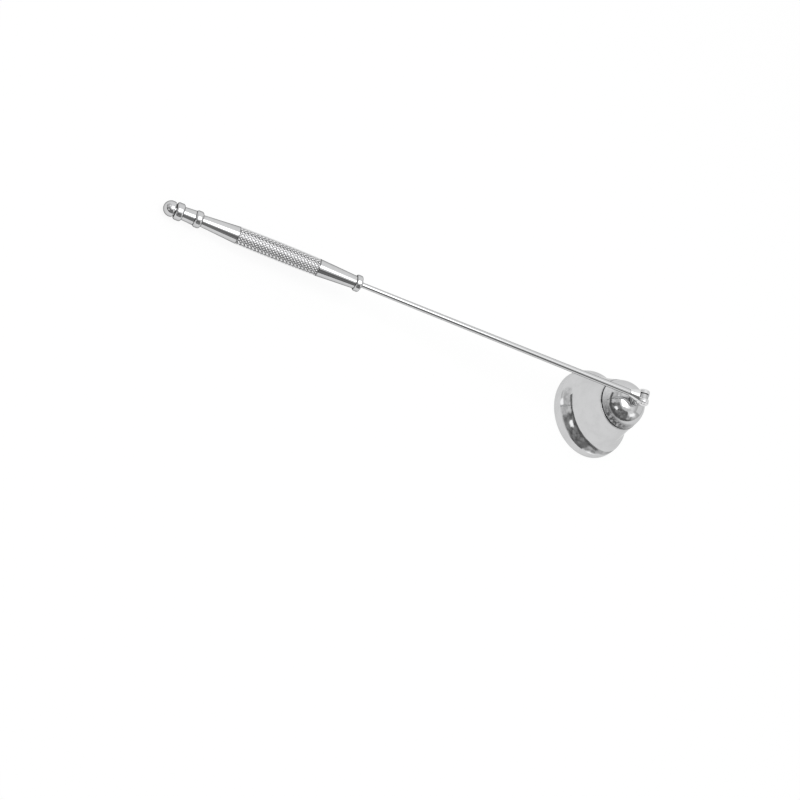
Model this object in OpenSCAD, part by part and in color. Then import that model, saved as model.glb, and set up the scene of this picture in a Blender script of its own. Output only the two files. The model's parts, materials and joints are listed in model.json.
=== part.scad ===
// Candle snuffer: a hinged bell on a long thin rod with a knurled handle.
// Millimetres, +Z up. The snuffer stands as it is put down on a table: the bell's mouth and the
// ball at the handle's end touch z = 0. The origin is the middle of that footprint, the bell is
// at +X, the handle runs towards -X, and the hinge pin lies along Y.

/* [Bell] */
// Outside diameter of the bell's mouth
mouth_d = 38; // [32:0.5:46]
// Thickness of the bell's wall
bell_wall = 1.1; // [0.8:0.05:1.5]
// Width of the small round on the lip's outer edge
lip_round = 0.4; // [0.2:0.05:0.7]
// Height of the almost upright lip band
lip_h = 3.5; // [2.5:0.1:5]
// How much the lip band draws in from its foot to its top, on the radius
lip_draw = 0.65; // [0.3:0.05:1.2]
// Height of the concave flare above the lip band
flare_h = 4.9; // [3.5:0.1:7]
// How much the flare draws in, on the radius
flare_draw = 3.6; // [2.4:0.1:4.6]
// Height of the bell's plain body, from the flare to the shoulder
body_h = 11.9; // [9:0.1:15]
// Diameter of the shoulder at the body's top
shoulder_d = 21.6; // [21:0.1:24]
// Width of the round on the shoulder's edge
shoulder_round = 0.25; // [0.15:0.05:0.4]
// Thickness of the ledge between the body and the dome
ledge_t = 1.2; // [0.9:0.1:1.6]
// Diameter at the bottom of the narrow groove under the dome
waist_d = 19.6; // [18.8:0.1:19.9]
// Height of the narrow groove and the dome's edge above it
waist_h = 0.8; // [0.6:0.1:1.2]
// Largest diameter of the domed crown
dome_d = 20.8; // [20.4:0.1:21.4]
// Height of the dome above its edge
dome_h = 8.1; // [7.4:0.1:9]
// How much the dome's side leans in before it rounds over, on the radius
dome_lean = 1.5; // [0.6:0.1:1.8]
// Diameter of the flat seat on top of the dome
seat_d = 4.8; // [4.7:0.1:6]
// Thickness of metal left at the top of the dome
crown_t = 1.7; // [1.2:0.1:2.4]
// Diameter of the straight core inside the dome
core_d = 16.2; // [14:0.1:16.4]
// Round between the straight core and the ceiling inside the dome
core_round = 4.2; // [3.8:0.1:5]

/* [Stud and nut] */
// Diameter of the stud where it passes through the crown
stud_d = 2.6; // [2:0.1:3]
// Diameter of the stud's flange
flange_d = 4.6; // [4:0.1:4.7]
// Thickness of the stud's flange
flange_t = 0.8; // [0.5:0.1:1.2]
// Height of the hinge pin above the flange
eye_h = 3.7; // [3.4:0.1:5]
// Diameter of the eye
eye_d = 4.4; // [3.6:0.1:4.8]
// Thickness of the eye
eye_t = 1.8; // [1.2:0.1:2.4]
// Width of the post that carries the eye
post_w = 2.8; // [2:0.1:2.9]
// Width across the nut's flats
nut_af = 5; // [4.4:0.1:6]
// Height of the nut
nut_h = 2; // [1.4:0.1:2.6]
// How far the stud shows below the nut
stud_end = 0.7; // [0.3:0.1:1.2]

/* [Hinge] */
// Diameter of the knuckle, seen along the pin
knuckle_d = 5.2; // [4.8:0.1:5.8]
// Width of the knuckle across both cheeks
knuckle_w = 6; // [5.2:0.1:7]
// Round on the knuckle's edges
knuckle_round = 0.7; // [0.3:0.05:0.9]
// Length from the pin to the end of the knuckle's neck
fork_len = 6.8; // [6:0.1:9]
// Diameter of the neck beside the cheeks
neck_d = 4.7; // [4:0.1:5]
// Diameter of the neck at its end
neck_end_d = 3.1; // [2.9:0.1:3.6]
// Diameter of the hinge pin
pin_d = 1.6; // [1.2:0.1:2]
// Diameter of the pin's round heads
pin_head_d = 2.7; // [2.4:0.1:3.2]
// Height of the pin's round heads
pin_head_h = 0.55; // [0.3:0.05:0.8]

/* [Rod] */
// Visible length of the rod, from the knuckle's neck to the ring
rod_len = 121.1; // [90:0.1:150]
// Diameter of the rod at the knuckle
rod_d = 2.6; // [2.2:0.05:2.8]
// Diameter of the rod at the ring
rod_end_d = 2.05; // [1.8:0.05:2.2]
// Length of the rod's tongue inside the knuckle's neck
tongue_len = 2.6; // [1.5:0.1:3]
// Length of the rod's tail inside the ring and the grip
tail_len = 15; // [8:0.5:17]
// Diameter of the rod's tongue and tail
tail_d = 1.8; // [1.5:0.05:1.8]

/* [Grip] */
// Diameter of the ring in front of the grip
ring_d = 6.4; // [5.6:0.1:7.2]
// Length of the ring
ring_len = 3; // [2.2:0.1:4]
// Diameter of the grip's nose, behind the ring
nose_d = 5; // [4.4:0.1:5.4]
// Length of the smooth front taper
front_len = 15.4; // [12:0.1:22]
// Diameter where the front taper meets the knurling
front_d = 6.6; // [6.5:0.05:6.8]
// Length of the knurled part
knurl_len = 32.5; // [24:0.5:42]
// Diameter over the knurling at its ends
knurl_end_d = 6.85; // [6.8:0.05:7]
// Diameter over the knurling at its middle
knurl_mid_d = 7.2; // [7:0.05:7.6]
// Depth of the knurling
knurl_depth = 0.3; // [0.2:0.02:0.34]
// Number of diamonds round the grip
knurl_count = 18; // [14:1:22]
// Length of one diamond along the grip
knurl_pitch = 1.4; // [1.2:0.05:1.8]
// Diameter where the rear taper meets the knurling
rear_d = 6.5; // [6.5:0.05:6.8]
// Length of the smooth rear taper
rear_len = 13.9; // [11:0.1:20]
// Diameter of the rear taper's thin end
tail_end_d = 4.4; // [4.1:0.1:5]

/* [Spindle and ball] */
// Diameter of the collar next to the grip
collar_d = 6.35; // [5.8:0.05:7]
// Length of the collar next to the grip
collar_len = 2.9; // [2:0.1:3.6]
// Length of the neck between the collars
spindle_neck_len = 4.4; // [3:0.1:8]
// Diameter of the neck at the collar next to the grip
spindle_neck_d = 5.5; // [4.8:0.1:5.7]
// Diameter of the neck at the end collar
spindle_neck_end_d = 4.9; // [4.4:0.1:5.4]
// Diameter of the end collar
end_collar_d = 6.6; // [5.8:0.05:7.2]
// Length of the end collar
end_collar_len = 3; // [2:0.1:3.8]
// Diameter of the groove in front of the ball
groove_d = 4.6; // [3.8:0.1:5]
// Length of the groove in front of the ball
groove_len = 0.5; // [0.3:0.1:0.8]
// Diameter of the ball
ball_d = 5.9; // [5.4:0.1:6.8]
// Length of the ball, which is cut flat at the groove
ball_len = 3.9; // [3.5:0.1:4.8]
// Diameter of the spindle's spigot inside the grip
spigot_d = 2.6; // [2:0.1:2.8]
// Length of the spindle's spigot
spigot_len = 7; // [4:0.5:9]
// Diameter of the ball's stem inside the spindle
stem_d = 2; // [1.6:0.1:2.4]
// Length of the ball's stem
stem_len = 5; // [3:0.5:7]

/* [Fits] */
// Gap on each side of the eye in the knuckle's slot
side_gap = 0.25; // [0.2:0.05:0.35]
// Gap between the eye's edge and the slot's floor
floor_gap = 0.5; // [0.4:0.05:0.8]
// Radial running clearance of the pin in the eye
run_gap = 0.05; // [0.03:0.01:0.08]
// Radial clearance of parts that are pressed, soldered or screwed together
seat_gap = 0.015; // [0.01:0.005:0.03]
// Depth left free at the bottom of each blind hole
end_gap = 0.4; // [0.2:0.1:0.8]

/* [Hidden] */
$fn = 64;
overlap = 0.3;

// Heights of the bell's outline above the table
mouth_r = mouth_d / 2;
flare_z = lip_h + flare_h;
shoulder_z = flare_z + body_h;
dome_z = shoulder_z + waist_h;
crown_z = dome_z + dome_h;
ceiling_z = crown_z - crown_t;
pivot_z = crown_z + flange_t + eye_h;

// Distances along the rod, counted from the hinge pin
slot_floor = eye_d / 2 + floor_gap;
ring_at = fork_len + rod_len;
nose_at = ring_at + ring_len;
knurl_at = nose_at + front_len;
rear_at = knurl_at + knurl_len;
collar_at = rear_at + rear_len;
spindle_neck_at = collar_at + collar_len;
end_collar_at = spindle_neck_at + spindle_neck_len;
groove_at = end_collar_at + end_collar_len;
ball_at = groove_at + groove_len;
ball_centre = ball_at + ball_len - ball_d / 2;

// The handle slopes down until its lowest ring or the ball touches the table
function lean_of_edge(at, d) = asin(pivot_z / norm([at, d / 2])) - atan2(d / 2, at);
tilt = min(
    asin((pivot_z - ball_d / 2) / ball_centre),
    lean_of_edge(groove_at, end_collar_d),
    lean_of_edge(spindle_neck_at, collar_d),
    lean_of_edge(rear_at, knurl_mid_d)
);

// The bell stands this far along +X, so that the origin is the middle of the footprint
reach_back = ball_centre * cos(tilt) + ball_d / 2;
bell_x = (reach_back - mouth_r) / 2;

// Points along a cubic curve from a to d, with the handles b and c
function curve(a, b, c, d, n = 10) = [
    for (i = [0:n]) let (t = i / n, s = 1 - t)
        s * s * s * a + 3 * s * s * t * b + 3 * s * t * t * c + t * t * t * d
];

// Points along a quarter round about a centre, between two angles
function arc(centre, r, from, to, n = 6) = [
    for (i = [0:n]) let (w = from + (to - from) * i / n) centre + r * [cos(w), sin(w)]
];

// Outline of the bell from the lip's foot up to the body's end.
// shift moves the curve inwards for the inside of the wall.
function bell_skirt(shift, end_z) = let (
        lip = mouth_r - shift,
        band = lip - lip_draw,
        body = band - flare_draw,
        shoulder = shoulder_d / 2 - shift
    ) concat(
        curve([lip, lip_round], [lip, lip_h * 0.5],
              [band + lip_draw * 0.3, lip_h * 0.8], [band, lip_h], 6),
        curve([band, lip_h], [band - flare_draw * 0.4, lip_h + flare_h * 0.22],
              [body + flare_draw * 0.16, flare_z - flare_h * 0.36], [body, flare_z], 14),
        curve([body, flare_z], [body - (body - shoulder) * 0.36, flare_z + body_h * 0.3],
              [shoulder + (body - shoulder) * 0.22, shoulder_z - body_h * 0.32], [shoulder, end_z], 12)
    );

// Round of the shoulder, the narrow groove and the dome up to the flat seat on the crown
function bell_top() = let (
        shoulder = shoulder_d / 2 - shoulder_round,
        waist = waist_d / 2,
        dome = dome_d / 2,
        eave = shoulder_z + waist_h * 0.3
    ) concat(
        arc([shoulder, shoulder_z - shoulder_round], shoulder_round, 0, 90),
        [[waist, shoulder_z]],
        curve([waist, eave], [dome, eave], [dome, shoulder_z + waist_h * 0.6], [dome, dome_z], 6),
        curve([dome, dome_z], [dome - dome_lean, dome_z + dome_h * 0.7],
              [dome * 0.58, crown_z - dome_h * 0.02], [seat_d / 2, crown_z], 18)
    );

// Inside of the bell: it follows the skirt up to the ledge, then runs up a straight core that
// rounds over to a flat ceiling
function bell_inside() = let (
        core = core_d / 2,
        ledge_z = shoulder_z - ledge_t
    ) concat(
        bell_skirt(bell_wall, ledge_z),
        [[core, ledge_z + waist_h * 0.5]],
        arc([core - core_round, ceiling_z - core_round], core_round, 0, 90, 10)
    );

// Parts of the handle are drawn along +Z from the hinge pin and laid down by this
module on_handle() {
    translate([bell_x, 0, pivot_z]) rotate([0, -90 - tilt, 0]) children();
}

// Parts of the bell are drawn about their own axis
module on_bell() {
    translate([bell_x, 0, 0]) children();
}

// A shaft or a hole along the rod between two distances
module round_between(from, to, d) {
    translate([0, 0, from]) cylinder(h = to - from, d = d);
}

// A shaft or a hole along the hinge, centred on the handle
module across(length, d) {
    rotate([90, 0, 0]) cylinder(h = length, d = d, center = true);
}

// A collar with a round edge, turned between two distances
module bead(from, length, d, foot_d) {
    edge = min(length * 0.42, (d - foot_d) * 0.5);
    rotate_extrude() polygon(concat(
        [[0, from], [d / 2 - edge, from]],
        arc([d / 2 - edge, from + edge], edge, -90, 0),
        arc([d / 2 - edge, from + length - edge], edge, 0, 90),
        [[0, from + length]]
    ));
}

module bell_shell() {
    color("silver") on_bell() difference() {
        rotate_extrude($fn = 128) polygon(concat(
            [[0, 0], [mouth_r - lip_round, 0]],
            bell_skirt(0, shoulder_z - shoulder_round), bell_top(), [[0, crown_z]]
        ));
        translate([0, 0, -overlap]) rotate_extrude($fn = 128) polygon(concat(
            [[0, 0], [mouth_r - bell_wall, 0]],
            [for (p = bell_inside()) p + [0, overlap]], [[0, ceiling_z + overlap]]
        ));
        round_between(ceiling_z - overlap, crown_z + overlap, stud_d + 2 * seat_gap);
    }
}

module bell_stud() {
    nut_base = ceiling_z - nut_h;
    color("gainsboro") on_bell() difference() {
        union() {
            round_between(nut_base - stud_end, crown_z + flange_t / 2, stud_d);
            bead(crown_z, flange_t, flange_d, flange_d - flange_t);
            translate([-post_w / 2, -eye_t / 2, crown_z + flange_t / 2])
                cube([post_w, eye_t, eye_h + flange_t / 2]);
            translate([0, 0, pivot_z]) across(eye_t, eye_d);
        }
        translate([0, 0, pivot_z]) across(eye_t + 2 * overlap, pin_d + 2 * run_gap);
    }
}

module stud_nut() {
    corner_d = nut_af / cos(30);
    chamfer = (corner_d - nut_af) / 2;
    color("darkgray") on_bell() translate([0, 0, ceiling_z - nut_h]) difference() {
        intersection() {
            cylinder(h = nut_h, d = corner_d, $fn = 6);
            rotate_extrude() polygon([
                [0, 0], [nut_af / 2, 0], [corner_d / 2, chamfer], [corner_d / 2, nut_h], [0, nut_h]
            ]);
        }
        round_between(-overlap, nut_h + overlap, stud_d + 2 * seat_gap);
    }
}

// The knuckle on the rod's end: two round cheeks with a slot between them, and a neck
module rod_fork() {
    half_w = knuckle_w / 2;
    cheek = knuckle_d / 2;
    slot_w = eye_t + 2 * side_gap;
    color("gainsboro") on_handle() difference() {
        union() {
            rotate([90, 0, 0]) rotate_extrude() polygon(concat(
                [[0, -half_w]],
                arc([cheek - knuckle_round, knuckle_round - half_w], knuckle_round, -90, 0),
                arc([cheek - knuckle_round, half_w - knuckle_round], knuckle_round, 0, 90),
                [[0, half_w]]
            ));
            rotate_extrude() polygon(concat(
                [[0, 0], [neck_d / 2, 0]],
                curve([neck_d / 2, slot_floor], [neck_d / 2, slot_floor + fork_len * 0.25],
                      [neck_end_d / 2, fork_len * 0.72], [neck_end_d / 2, fork_len]),
                [[0, fork_len]]
            ));
        }
        translate([-knuckle_d, -slot_w / 2, -knuckle_d])
            cube([2 * knuckle_d, slot_w, knuckle_d + slot_floor]);
        across(knuckle_w + 2 * overlap, pin_d + 2 * seat_gap);
        round_between(fork_len - tongue_len - end_gap, fork_len + overlap, tail_d + 2 * seat_gap);
    }
}

// The rivet: a plain shaft with a low round head on each cheek
module hinge_pin() {
    half_w = knuckle_w / 2;
    head_r = pin_head_d / 2;
    color("silver") on_handle() rotate([90, 0, 0]) rotate_extrude() polygon(concat(
        [[0, -half_w - pin_head_h]],
        [for (w = [15:15:90]) [head_r * sin(w), -half_w - pin_head_h * cos(w)]],
        [[pin_d / 2, -half_w], [pin_d / 2, half_w]],
        [for (w = [90:-15:15]) [head_r * sin(w), half_w + pin_head_h * cos(w)]],
        [[0, half_w + pin_head_h]]
    ));
}

// The rod swells slightly towards the bell. Its tongue is soldered into the knuckle's neck and
// its tail goes through the ring into the grip.
module rod() {
    color("silver") on_handle() union() {
        round_between(fork_len - tongue_len, fork_len + overlap, tail_d);
        translate([0, 0, fork_len]) cylinder(h = rod_len, d1 = rod_d, d2 = rod_end_d);
        round_between(ring_at - overlap, ring_at + tail_len, tail_d);
    }
}

// A bead with a short cone towards the rod
module front_ring() {
    cone_len = ring_len * 0.2;
    color("silver") on_handle() difference() {
        union() {
            translate([0, 0, ring_at]) cylinder(h = ring_len, d1 = rod_end_d + cone_len, d2 = nose_d);
            bead(ring_at + cone_len, ring_len - cone_len, ring_d, nose_d);
        }
        round_between(ring_at - overlap, nose_at + overlap, tail_d + 2 * seat_gap);
    }
}

// Diameter over the knurling at a share of its length: slightly barrel-shaped
function knurl_crest(share) =
    knurl_end_d + (knurl_mid_d - knurl_end_d) * (1 - pow(2 * share - 1, 2));

// The diamond knurling as one closed body. Rings of points run round the grip half a diamond
// apart. In each ring crests and crossings of the cut grooves take turns, and the next ring is
// staggered, so every crest is a four-sided pyramid. The first and last rings are plain and
// run a little way into the smooth tapers.
module knurling() {
    steps = 2 * knurl_count;
    rows = 2 * round(knurl_len / knurl_pitch);
    relief = overlap / 6;
    root = (knurl_end_d - 2 * knurl_depth) / 2 - relief;
    ends = [-overlap, relief];
    ring_z = concat(
        [ends[0], ends[1]],
        [for (j = [1:rows - 1]) knurl_len * j / rows],
        [knurl_len - ends[1], knurl_len - ends[0]]
    );
    last = len(ring_z) - 1;
    points = concat(
        [for (j = [0:last]) for (i = [0:steps - 1])
            let (
                plain = j < 2 || j > last - 2,
                crest = knurl_crest(ring_z[j] / knurl_len) / 2,
                r = plain ? root : (i + j) % 2 == 0 ? crest : crest - knurl_depth,
                w = 360 * i / steps
            ) [r * cos(w), r * sin(w), ring_z[j]]],
        [[0, 0, ring_z[0]], [0, 0, ring_z[last]]]
    );
    low_pole = len(points) - 2;
    faces = concat(
        [for (j = [0:last - 1]) for (i = [0:steps - 1])
            let (
                n = (i + 1) % steps,
                a = j * steps + i, b = j * steps + n,
                c = (j + 1) * steps + n, d = (j + 1) * steps + i
            )
            each (i + j) % 2 == 0 ? [[a, c, b], [a, d, c]] : [[a, d, b], [b, d, c]]],
        [for (i = [0:steps - 1]) [i, (i + 1) % steps, low_pole]],
        [for (i = [0:steps - 1]) [last * steps + (i + 1) % steps, last * steps + i, low_pole + 1]]
    );
    polyhedron(points, faces, convexity = 4);
}

// The grip: a smooth taper, the knurled part and another smooth taper, with a blind hole at
// each end. Under the knurling there is a plain core.
module knurled_grip() {
    core = knurl_end_d - 2 * knurl_depth - 4 * overlap;
    color("silver") on_handle() difference() {
        union() {
            translate([0, 0, knurl_at]) knurling();
            rotate_extrude() polygon([
                [0, nose_at], [nose_d / 2, nose_at], [front_d / 2, knurl_at], [core / 2, knurl_at],
                [core / 2, rear_at], [rear_d / 2, rear_at], [tail_end_d / 2, collar_at], [0, collar_at]
            ]);
        }
        round_between(nose_at - overlap, ring_at + tail_len + end_gap, tail_d + 2 * seat_gap);
        round_between(collar_at - spigot_len - end_gap, collar_at + overlap, spigot_d + 2 * seat_gap);
    }
}

module rear_spindle() {
    color("silver") on_handle() difference() {
        union() {
            round_between(collar_at - spigot_len, collar_at + overlap, spigot_d);
            bead(collar_at, collar_len, collar_d, tail_end_d);
            translate([0, 0, spindle_neck_at - overlap]) cylinder(
                h = spindle_neck_len + 2 * overlap, d1 = spindle_neck_d, d2 = spindle_neck_end_d);
            bead(end_collar_at, end_collar_len, end_collar_d, spindle_neck_end_d);
        }
        round_between(groove_at - stem_len - end_gap, groove_at + overlap, stem_d + 2 * seat_gap);
    }
}

module end_ball() {
    color("silver") on_handle() union() {
        round_between(groove_at - stem_len, groove_at + overlap, stem_d);
        round_between(groove_at, ball_at + overlap, groove_d);
        intersection() {
            translate([0, 0, ball_centre]) sphere(d = ball_d);
            round_between(ball_at, ball_at + ball_d, ball_d);
        }
    }
}

bell_shell();
bell_stud();
stud_nut();
rod_fork();
hinge_pin();
rod();
front_ring();
knurled_grip();
rear_spindle();
end_ball();
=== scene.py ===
"""Finish of a polished candle snuffer: fine meshes and plated metal over its construction model, and a photo table.

Everything is in metres, in the frame of the construction model: the bell stands on its mouth at +X, the handle
runs towards -X and slopes down to the table. Parts of the handle are turned along +Z from the hinge pin and laid
down afterwards, parts of the bell are turned about the bell's own axis.
"""

import json
import math

import bpy
from mathutils import Matrix, Vector


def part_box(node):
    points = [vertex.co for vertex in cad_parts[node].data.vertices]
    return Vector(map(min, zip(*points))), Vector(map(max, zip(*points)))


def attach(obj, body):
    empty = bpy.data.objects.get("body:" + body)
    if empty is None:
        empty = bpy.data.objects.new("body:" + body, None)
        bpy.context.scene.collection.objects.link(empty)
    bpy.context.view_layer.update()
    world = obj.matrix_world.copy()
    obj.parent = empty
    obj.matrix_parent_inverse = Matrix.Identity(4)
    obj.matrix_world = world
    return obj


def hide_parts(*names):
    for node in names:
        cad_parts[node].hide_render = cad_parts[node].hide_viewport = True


bl_info = {
    "name": "Candle snuffer",
    "version": (1, 0, 0),
    "blender": (4, 5, 0),
    "location": "View3D > Sidebar > Snuffer",
    "description": "Models the pieces of a hinged candle snuffer, plates them and sets up a photo table",
    "category": "Add Mesh",
}

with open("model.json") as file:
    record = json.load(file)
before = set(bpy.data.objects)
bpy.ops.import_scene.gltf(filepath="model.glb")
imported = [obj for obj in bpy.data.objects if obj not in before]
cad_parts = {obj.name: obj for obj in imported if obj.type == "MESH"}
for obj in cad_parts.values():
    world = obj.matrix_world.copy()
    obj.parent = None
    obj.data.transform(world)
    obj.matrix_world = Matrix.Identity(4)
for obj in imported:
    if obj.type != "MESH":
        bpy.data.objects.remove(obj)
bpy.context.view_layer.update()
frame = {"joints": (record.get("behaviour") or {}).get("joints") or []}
MM = 0.001

PIVOT = Vector(frame["joints"][0]["pos_m"])
BELL_FOOT = Vector((PIVOT.x, 0, 0))


def mm(label, text, millimetres):
    """A length that a user can change, kept in metres"""
    return bpy.props.FloatProperty(
        name=label, description=text, default=millimetres * MM, min=0, unit="LENGTH", precision=5
    )


def number(label, text, default, low=0.0, high=1.0):
    """A plain number that a user can change"""
    return bpy.props.FloatProperty(name=label, description=text, default=default, min=low, max=high, precision=4)


def colour(label, text, default):
    """A linear colour that a user can change"""
    return bpy.props.FloatVectorProperty(
        name=label, description=text, default=default, min=0, max=1, size=3, subtype="COLOR"
    )


def angle(label, text, degrees):
    """An angle that a user can change, kept in radians"""
    return bpy.props.FloatProperty(name=label, description=text, default=math.radians(degrees), unit="ROTATION")


class SnufferBell(bpy.types.PropertyGroup):
    """Sizes of the bell, the stud in its crown and the nut that holds the stud"""

    mouth_d: mm("Mouth diameter", "Outside diameter of the bell's mouth", 38)
    wall: mm("Wall", "Thickness of the bell's wall", 1.1)
    lip_round: mm("Lip round", "Round on the lip's outer edge", 0.4)
    lip_h: mm("Lip height", "Height of the almost upright lip band", 3.5)
    lip_draw: mm("Lip draw", "How much the lip band draws in, on the radius", 0.65)
    flare_h: mm("Flare height", "Height of the concave flare", 4.9)
    flare_draw: mm("Flare draw", "How much the flare draws in, on the radius", 3.6)
    body_h: mm("Body height", "Height of the plain body up to the shoulder", 11.9)
    shoulder_d: mm("Shoulder diameter", "Diameter at the top of the body", 21.6)
    shoulder_round: mm("Shoulder round", "Round on the shoulder's edge", 0.25)
    ledge_t: mm("Ledge", "Thickness of the ledge between the body and the dome", 1.2)
    waist_d: mm("Waist diameter", "Diameter at the bottom of the groove under the dome", 19.6)
    waist_h: mm("Waist height", "Height of the groove and the dome's edge above it", 0.8)
    dome_d: mm("Dome diameter", "Largest diameter of the domed crown", 20.8)
    dome_h: mm("Dome height", "Height of the dome above its edge", 8.1)
    dome_lean: mm("Dome lean", "How much the dome's side leans in before it rounds over", 1.5)
    seat_d: mm("Seat diameter", "Flat seat on top of the dome", 4.8)
    crown_t: mm("Crown thickness", "Metal left at the top of the dome", 1.7)
    core_d: mm("Core diameter", "Straight core inside the dome", 16.2)
    core_round: mm("Core round", "Round between the straight core and the ceiling", 4.2)
    stud_d: mm("Stud diameter", "Stud where it passes through the crown", 2.6)
    flange_d: mm("Flange diameter", "Flange of the stud on the crown", 4.6)
    flange_t: mm("Flange thickness", "Thickness of the stud's flange", 0.8)
    eye_d: mm("Eye diameter", "Eye that the hinge pin carries", 4.4)
    eye_t: mm("Eye thickness", "Thickness of the eye", 1.8)
    post_w: mm("Post width", "Post that carries the eye", 2.8)
    thread_pitch: mm("Thread pitch", "Rise of one turn of the stud's thread", 0.45)
    nut_af: mm("Nut across flats", "Width of the nut across its flats", 5)
    nut_h: mm("Nut height", "Height of the nut", 2)
    stud_end: mm("Stud end", "How far the stud shows below the nut", 0.7)


class SnufferHandle(bpy.types.PropertyGroup):
    """Sizes of the knuckle, its pin, the rod, the grip and the turned end"""

    knuckle_d: mm("Knuckle diameter", "Knuckle, seen along the pin", 5.2)
    knuckle_w: mm("Knuckle width", "Knuckle across both cheeks", 6)
    knuckle_round: mm("Knuckle round", "Round on the knuckle's edges", 0.7)
    slot_w: mm("Slot width", "Slot between the cheeks", 2.3)
    slot_floor: mm("Slot depth", "From the pin to the floor of the slot", 2.7)
    fork_len: mm("Fork length", "From the pin to the end of the knuckle's neck", 6.8)
    neck_d: mm("Neck diameter", "Neck beside the cheeks", 4.7)
    neck_end_d: mm("Neck end diameter", "Neck where the rod goes in", 3.1)
    pin_d: mm("Pin diameter", "Hinge pin", 1.6)
    pin_head_d: mm("Pin head diameter", "Round heads of the pin", 2.7)
    pin_head_h: mm("Pin head height", "Height of the pin's heads", 0.55)
    rod_len: mm("Rod length", "Rod between the neck and the ring", 121.1)
    rod_d: mm("Rod diameter", "Rod at the knuckle", 2.6)
    rod_end_d: mm("Rod end diameter", "Rod at the ring", 2.05)
    ring_d: mm("Ring diameter", "Ring in front of the grip", 6.4)
    ring_len: mm("Ring length", "Length of the ring", 3)
    nose_d: mm("Nose diameter", "Grip behind the ring", 5)
    front_len: mm("Front taper", "Length of the smooth front taper", 15.4)
    front_d: mm("Front diameter", "Front taper at the knurling", 6.6)
    knurl_len: mm("Knurl length", "Length of the knurled part", 32.5)
    knurl_end_d: mm("Knurl end diameter", "Over the knurling at its ends", 6.85)
    knurl_mid_d: mm("Knurl middle diameter", "Over the knurling at its middle", 7.2)
    knurl_depth: mm("Knurl depth", "Depth of the knurling", 0.3)
    knurl_pitch: mm("Knurl pitch", "Length of one diamond along the grip", 1.4)
    knurl_count: bpy.props.IntProperty(name="Knurl count", description="Diamonds round the grip", default=18, min=8)
    rear_d: mm("Rear diameter", "Rear taper at the knurling", 6.5)
    rear_len: mm("Rear taper", "Length of the smooth rear taper", 13.9)
    tail_end_d: mm("Tail diameter", "Thin end of the rear taper", 4.4)
    collar_d: mm("Collar diameter", "Collar next to the grip", 6.35)
    collar_len: mm("Collar length", "Length of the collar next to the grip", 2.9)
    spindle_neck_len: mm("Spindle neck", "Length of the neck between the collars", 4.4)
    spindle_neck_d: mm("Spindle neck diameter", "Neck at the collar next to the grip", 5.5)
    spindle_neck_end_d: mm("Spindle neck end", "Neck at the end collar", 4.9)
    end_collar_d: mm("End collar diameter", "Collar next to the ball", 6.6)
    end_collar_len: mm("End collar length", "Length of the collar next to the ball", 3)
    groove_d: mm("Groove diameter", "Groove in front of the ball", 4.6)
    groove_len: mm("Groove length", "Length of the groove", 0.5)
    ball_d: mm("Ball diameter", "Ball at the handle's end", 5.9)
    ball_len: mm("Ball length", "Length of the ball, cut flat at the groove", 3.9)


class SnufferFinish(bpy.types.PropertyGroup):
    """Colours and polish of the plated metal"""

    plating: colour("Plating", "Colour of the polished plating", (0.64, 0.642, 0.647))
    # Painted highlight: the knuckle and pin get a brighter copy of the plating, for the bright reflections on them
    knuckle: colour("Knuckle", "Colour of the knuckle's brighter plating", (0.8, 0.8, 0.805))
    inside: colour("Inside", "Colour of the duller plating inside the bell", (0.56, 0.56, 0.565))
    steel: colour("Steel", "Colour of the plain steel nut", (0.42, 0.42, 0.43))
    # Painted shade: edge tints below 1 darken the metal along its outlines, where it is seen edge on, most on the
    # handle
    edge_tint: number("Edge tint", "How bright the handle's metal stays where it is seen edge on", 0.15)
    bell_edge_tint: number("Bell edge tint", "The same for the bell", 0.8)
    # Painted shade: this dark colour goes into grooves and joints as grime and shade, and onto one side of the dome
    # as a painted dark reflection
    grime_and_shade: colour("Grime", "Colour of the grime in grooves and seams", (0.05, 0.05, 0.052))
    crest: colour("Crest", "Colour of the knurling's worn crests", (0.86, 0.86, 0.865))
    # Painted shade: the knurling's colour runs from the crest colour down to this one at the bottom of its grooves
    root: colour("Root", "Colour at the bottom of the knurling", (0.26, 0.26, 0.265))
    knurl_edge_tint: number("Knurl edge tint", "How bright the knurling stays where it is seen edge on", 0.4)
    polish: number("Polish", "Roughness of the mirror finish", 0.06)
    dull: number("Dull polish", "Roughness of the unpolished plating", 0.3)
    knurl_polish: number("Knurl polish", "Roughness of the knurling's crests", 0.1)


class SnufferStage(bpy.types.PropertyGroup):
    """Camera and light of the photo table"""

    azimuth: angle("Azimuth", "Direction of the camera from the object, counted from +X", 219.29)
    elevation: angle("Elevation", "Height of the camera above the horizon", 54.04)
    roll: angle("Roll", "Turn of the camera about its own axis", 69.04)
    distance: mm("Distance", "From the camera to the bell's foot, along its axis", 600)
    lens: number("Lens", "Focal length on a 36 mm wide sensor, in millimetres", 63.35, 10, 300)
    floor_colour: colour("Table", "Colour of the table", (0.9, 0.9, 0.9))
    tent: number("Tent", "Brightness of the white tent in reflections", 0.95, 0, 2)
    sky: number("Soft light", "Brightness of the soft light from all round", 0.55, 0, 4)


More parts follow.
